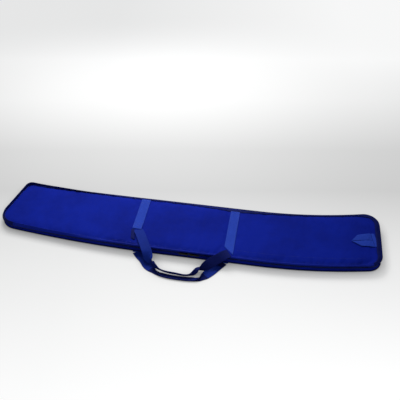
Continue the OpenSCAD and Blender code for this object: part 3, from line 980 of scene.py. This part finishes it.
def through(points, count):
    """A smooth line through the points, evenly spaced by length."""
    points = np.asarray(points, float)
    far = along(points[:, :3])
    slope = np.gradient(points, far, axis=0)
    at = np.linspace(0, far[-1], count)
    i = np.clip(np.searchsorted(far, at, side="right") - 1, 0, len(far) - 2)
    h = (far[i + 1] - far[i])[:, None]
    t = ((at - far[i])[:, None]) / h
    return ((2 * t ** 3 - 3 * t ** 2 + 1) * points[i] + (t ** 3 - 2 * t ** 2 + t) * h * slope[i]
            + (-2 * t ** 3 + 3 * t ** 2) * points[i + 1] + (t ** 3 - t ** 2) * h * slope[i + 1])


def folded(fold):
    """The webbing's cut end: (across, raised) points, its inner half turned over by fold degrees."""
    x = np.linspace(-web_w / 2, web_w / 2, 161)
    turn = math.radians(fold) * np.clip((x + crease_r) / (2 * crease_r), 0, 1)
    step = x[1] - x[0]
    a = np.cumsum(np.cos(turn)) * step
    b = np.cumsum(np.sin(turn)) * step
    a -= (a.max() + a.min()) / 2
    b -= (b.max() + b.min()) / 2
    keep = np.unique(np.concatenate([np.linspace(0, 160, 17).astype(int), [74, 77, 80, 83, 86]]))
    return np.stack([a[keep], b[keep]], -1), x[keep] + web_w / 2


def two_tone(piece, second, edges):
    """Both faces of a strip get the second material where second holds; edges is that of its edges."""
    index = np.full(len(piece.data.polygons), edges)
    index[:2 * len(second)] = np.tile(second, 2)
    piece.data.polygons.foreach_set("material_index", index)


def handle(name, route, node, body, turned_over):
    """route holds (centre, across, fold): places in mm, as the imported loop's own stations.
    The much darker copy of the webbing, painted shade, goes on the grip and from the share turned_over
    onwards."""
    count = 110
    rows = np.array([[*np.array(c, float) * MM, *(np.array(a, float) / np.linalg.norm(a)), f / 180]
                     for c, a, f in route])
    fine = through(rows, count)
    ahead = unit(np.gradient(fine[:, :3], axis=0))
    across = fine[:, 3:6]
    across = unit(across - 0.75 * ahead * np.sum(across * ahead, axis=1)[:, None])
    raised = unit(np.cross(ahead, across))
    grid = []
    for k in range(count):
        cut, widths = folded(float(np.clip(fine[k, 6], 0, 0.98)) * 180)
        grid.append(fine[k, :3] + cut[:, :1] * across[k] + cut[:, 1:] * raised[k])
    grid = np.array(grid)
    grid[..., 2] = np.maximum(grid[..., 2], cad_low.z + web_t / 2 + 0.1 * MM)
    piece = slab(name, grid, web_t, [leg_painted_shade_mat, grip_painted_shade_mat], along(fine[:, :3]), widths)
    # The grip and the turned-over stretch take the much darker copy: painted shade.
    painted_shade_shows = (fine[:-1, 6] > 0.3) | (np.arange(count - 1) > turned_over * count)
    two_tone(piece, np.repeat(painted_shade_shows, grid.shape[1] - 1), 1)
    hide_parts(node)
    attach(piece, body)
    grip = np.flatnonzero(fine[:, 6] > 0.85)
    spots, ways = stitches_on(fine[grip, :3] - across[grip] * (web_w / 4 - 2.4 * MM), stitch_step)
    face = np.array([raised[grip[np.argmin(np.linalg.norm(fine[grip, :3] - p, axis=1))]] for p in spots])
    both = np.concatenate([spots + face * grip_half, spots - face * grip_half])
    rows = row_of(name + "_stitches", both, np.tile(ways, (2, 1)), np.concatenate([face, -face]),
                  (2.6 * MM, 0.6 * MM, 0.7 * MM), thread_mat)
    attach(rows, body)


ny = -mid_w / 2 / MM
lx, rx = -168, 146
base_lx, base_rx = -152, 133
gx = (lx + rx) / 2
top = case_h / MM
lid_route = [
    ((lx + 6, -44, top + 2.4), (1, 0, 0), 0), ((lx + 24, ny + 32, top + 6), (0.97, 0.25, 0), 0),
    ((lx + 41, ny, top + 6), (0.85, 0.5, 0), 0),
    ((lx + 55, ny - 25, top + 1), (0.83, 0.55, 0.1), 0),
    ((lx + 64, ny - 42, 22), (0.88, 0.3, 0.36), 15),
    ((lx + 74, ny - 55, 15.5), (0.55, 0.05, 0.8), 65),
    ((lx + 88, ny - 65, 15), (-0.2, -0.35, 0.9), 135),
    ((gx - 51, ny - 74, 11.5), (-0.1, -0.45, 0.88), 176),
    ((gx, ny - 81, 9), (0, -0.45, 0.9), 176), ((gx + 47, ny - 79, 9), (0.1, -0.45, 0.88), 176),
    ((rx - 94, ny - 68, 11.5), (0.1, -0.2, 0.95), 120),
    ((rx - 80, ny - 53, 15), (-0.35, 0, 0.93), 50),
    ((rx - 64, ny - 40, 16), (-0.6, 0.35, 0.72), 8),
    ((rx - 47, ny - 25, 21), (-0.62, 0.6, 0.5), 0),
    ((rx - 28, ny - 13, 28), (-0.48, 0.7, 0.5), 0),
    ((rx - 10, ny - 1, top + 3.4), (-0.5, 0.82, 0.25), 0),
    ((rx + 3, ny + 9, top + 3.2), (-0.55, 0.83, 0), 0)]
base_route = [
    ((base_lx + 1, ny - 4, 1.2), (1, 0.1, 0), 0), ((base_lx + 12, ny - 17, 1.2), (0.93, 0.36, 0), 0),
    ((base_lx + 29, ny - 33, 1.2), (0.75, 0.66, 0), 0),
    ((base_lx + 51, ny - 61, 1.5), (0.6, 0.8, 0), 35),
    ((base_lx + 77, ny - 80, 2.2), (0.4, 0.92, 0), 110), ((gx - 41, ny - 88, 2.9), (0.1, 1, 0), 176),
    ((gx + 11, ny - 93, 2.9), (0, 1, 0), 176), ((gx + 59, ny - 90, 2.9), (-0.1, 1, 0), 176),
    ((base_rx - 62, ny - 84, 2.2), (-0.5, 0.86, 0), 110),
    ((base_rx - 39, ny - 56, 1.3), (-0.74, 0.67, 0), 15),
    ((base_rx - 15, ny - 22, 1.2), (-0.86, 0.5, 0), 0),
    ((base_rx - 2, ny - 4, 1.2), (-1, 0.12, 0), 0)]
handle("lid_handle_loop", lid_route, "lid_handle", "lid_loop", turned_over=0.6)
handle("base_handle_loop", base_route, "base_handle", "base_loop", turned_over=0.93)

# ---- Turned edge beside the lid loop's left leg ----
# The webbing is wider than the leg that leaves it, so its spare edge is turned under and
# tacked to the lid. It takes the much darker copy of the webbing, painted shade beside the leg.
inner_start, inner_end = (-175, -44), (-163, -90)
outer_start, outer_end = (-186, -44), (-178, -87)
grid = []
for down in np.linspace(0, 1, 12):
    line_at = []
    for over in np.linspace(0, 1, 5):
        start = np.array(outer_start) * (1 - over) + np.array(inner_start) * over
        stop = np.array(outer_end) * (1 - over) + np.array(inner_end) * over
        x, y = (start * (1 - down) + stop * down) * MM
        line_at.append((x, y, on_lid(x, y) + 0.6 * MM + 1.2 * MM * over))
    grid.append(line_at)
turned_edge = slab("lid_handle_turned_edge", np.array(grid), 1.0 * MM, [grip_painted_shade_mat],
                   np.linspace(0, 0.045, 12), np.linspace(0, 0.012, 5))
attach(turned_edge, "lid")

# ---- Hang loop at the right end ----
# A short length of webbing doubled side by side and folded to a point, sewn into the end
# seam. It lies folded back on the lid, with a slit from the point between its two halves.
hang_s = half_l - 26.4 * MM
hang_v = -10 * MM
hang_l = 71 * MM
shoulder = 45 * MM
half = 30 * MM
origin = place(hang_s, hang_v)
heading = float(spine(hang_s)[2])
ex = np.array([math.cos(heading), math.sin(heading)])
ey = np.array([-math.sin(heading), math.cos(heading)])


def hang_edge(a):
    """The outer edge's distance from the middle, a behind the sewn end."""
    return np.interp(a, [0, shoulder, hang_l], [half, half - 5 * MM, 0.6 * MM])


for side, label in ((-1, "near"), (1, "far")):
    rows = np.concatenate([np.linspace(0, shoulder, 20), np.linspace(shoulder, hang_l, 16)[1:]])
    grid = []
    for a in rows:
        inner = np.interp(a, [0, 28 * MM, hang_l], [0.1, 0.3, 0.9]) * MM
        outer = max(float(hang_edge(a)), inner + 0.6 * MM)
        across = inner + (outer - inner) * np.linspace(0, 1, 9)
        line_at = []
        for b in across:
            x, y = origin - ex * a + ey * side * b
            edge = b / half
            rise = (1.4 - 0.9 * (1 - edge) ** 3 + 0.5 * math.sin(math.pi * edge)) * MM
            line_at.append((x, y, on_lid(x, y, reach=2 * MM) + web_t / 2 + rise * min(1.0, a / (12 * MM))))
        grid.append(line_at)
    grid = np.array(grid)
    leaf = slab("hang_loop_" + label, grid, web_t, [web_mat], rows, np.linspace(0, half, 9))
    if label == "near":
        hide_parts("hang_loop")
    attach(leaf, "hang_strap")

xs = np.linspace(0.4, 12.5, 6) * MM
ys = np.linspace(-half, half, 15)
grid = laid([[origin + ex * a + ey * b for b in ys] for a in xs], reach=2 * MM)
anchor = slab("hang_loop_sewn_end", grid, web_t, [web_mat], xs, ys + half)
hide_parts("hang_loop_anchor")
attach(anchor, "lid")

# ---- Sewn lines near the lid's seams ----
# One row of stitches holds the cover to the seam allowance all round, up to both sides of the
# right strap, where the handle's fold covers the edge. A second one runs further in on the
# right half of the handle side.
first_in, second_in = 5.5 * MM, 25 * MM
fold_start, fold_stop = 0.09, 0.165
second_start, second_stop = 0.17, half_l - 0.06
beside_fold = stretch_of((seam_v > 0) | (seam_s < fold_start) | (seam_s > fold_stop))
right_half = stretch_of((seam_v < 0) & (seam_s > second_start) & (seam_s < second_stop))
rounds = [(seam_xy - seam_out * first_in)[beside_fold], (seam_xy - seam_out * second_in)[right_half]]
sewn_rows("lid_edge_stitches", rounds, lambda x, y: lid_height(x, y, case_h) + 0.05 * MM,
          size=(2.4 * MM, 0.5 * MM, 0.45 * MM))

# ---- Rolled edge round the lid ----
# The strip that covers the piping turns over it and lies on the lid as a narrow edge in the
# darker copy of the nylon, painted shade along the roll. On the far side and at the right end the
# fabric is cut too high for the empty case, so there it rolls further in. Along the handle side it
# is drawn tight and shows the paler piping.
low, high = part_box("lid_piping")
pipe_middle = (low.z + high.z) / 2
over_r = pipe_r + 0.9 * MM
left_from, left_run = -0.45, 0.1
right_l, right_run = 0.05, 0.035
loose_at, loose_run = 0.15, 0.11
round_trip = np.append(all_round, 0)
seam_x = seam_xy[round_trip][:, 0]
far_share = np.convolve(np.pad(on_hinge[round_trip].astype(float), 4, "edge"), np.ones(9) / 9, "valid")
left_share = np.clip((left_from - seam_x) / left_run, 0, 1)
right_share = np.clip((seam_s[round_trip] - half_l + right_l) / right_run, 0, 1)
far_roll = 3.3 + 11 * np.exp(-((seam_x - loose_at) / loose_run) ** 2)
roll_in = (1.2 + 3.3 * left_share + 12.0 * right_share + far_share * far_roll) * MM
roll_in += waver(seam_run[round_trip], 1.0 * MM, 61) * far_share
bulge = (0.7 + 0.9 * far_share + 1.6 * right_share) * MM
near_side = (seam_v[round_trip] < 0) & (np.abs(seam_s[round_trip]) < half_l - right_l)
grid = []
for i, at in enumerate(round_trip):
    line_at = []
    for t in np.linspace(0, 1, 7):
        x, y = seam_xy[at] - seam_out[at] * (roll_in[i] * (1 - t))
        line_at.append((x, y, on_lid(x, y, reach=1.5 * MM) + bulge[i] * math.sin(math.pi * (0.15 + 0.7 * t))))
    for turn in np.radians((70, 40, 10, -20, -45)):
        x, y = seam_xy[at] + seam_out[at] * (pipe_out + over_r * math.cos(turn))
        line_at.append(tuple(settled([(x, y, pipe_middle + over_r * math.sin(turn))])[0]))
    grid.append(line_at)
grid = np.array(grid)
# Most of the edge takes the darker copy of the nylon as painted shade; the handle side takes the piping's own
# colour.
rolled_edge = slab("lid_rolled_edge", grid, 0.9 * MM, [piping_painted_shade_mat, pipe_mat], along(seam_xy[round_trip]),
                   np.linspace(0, 0.012, grid.shape[1]))
two_tone(rolled_edge, np.repeat(near_side[:-1], grid.shape[1] - 1), 0)
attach(rolled_edge, "lid")
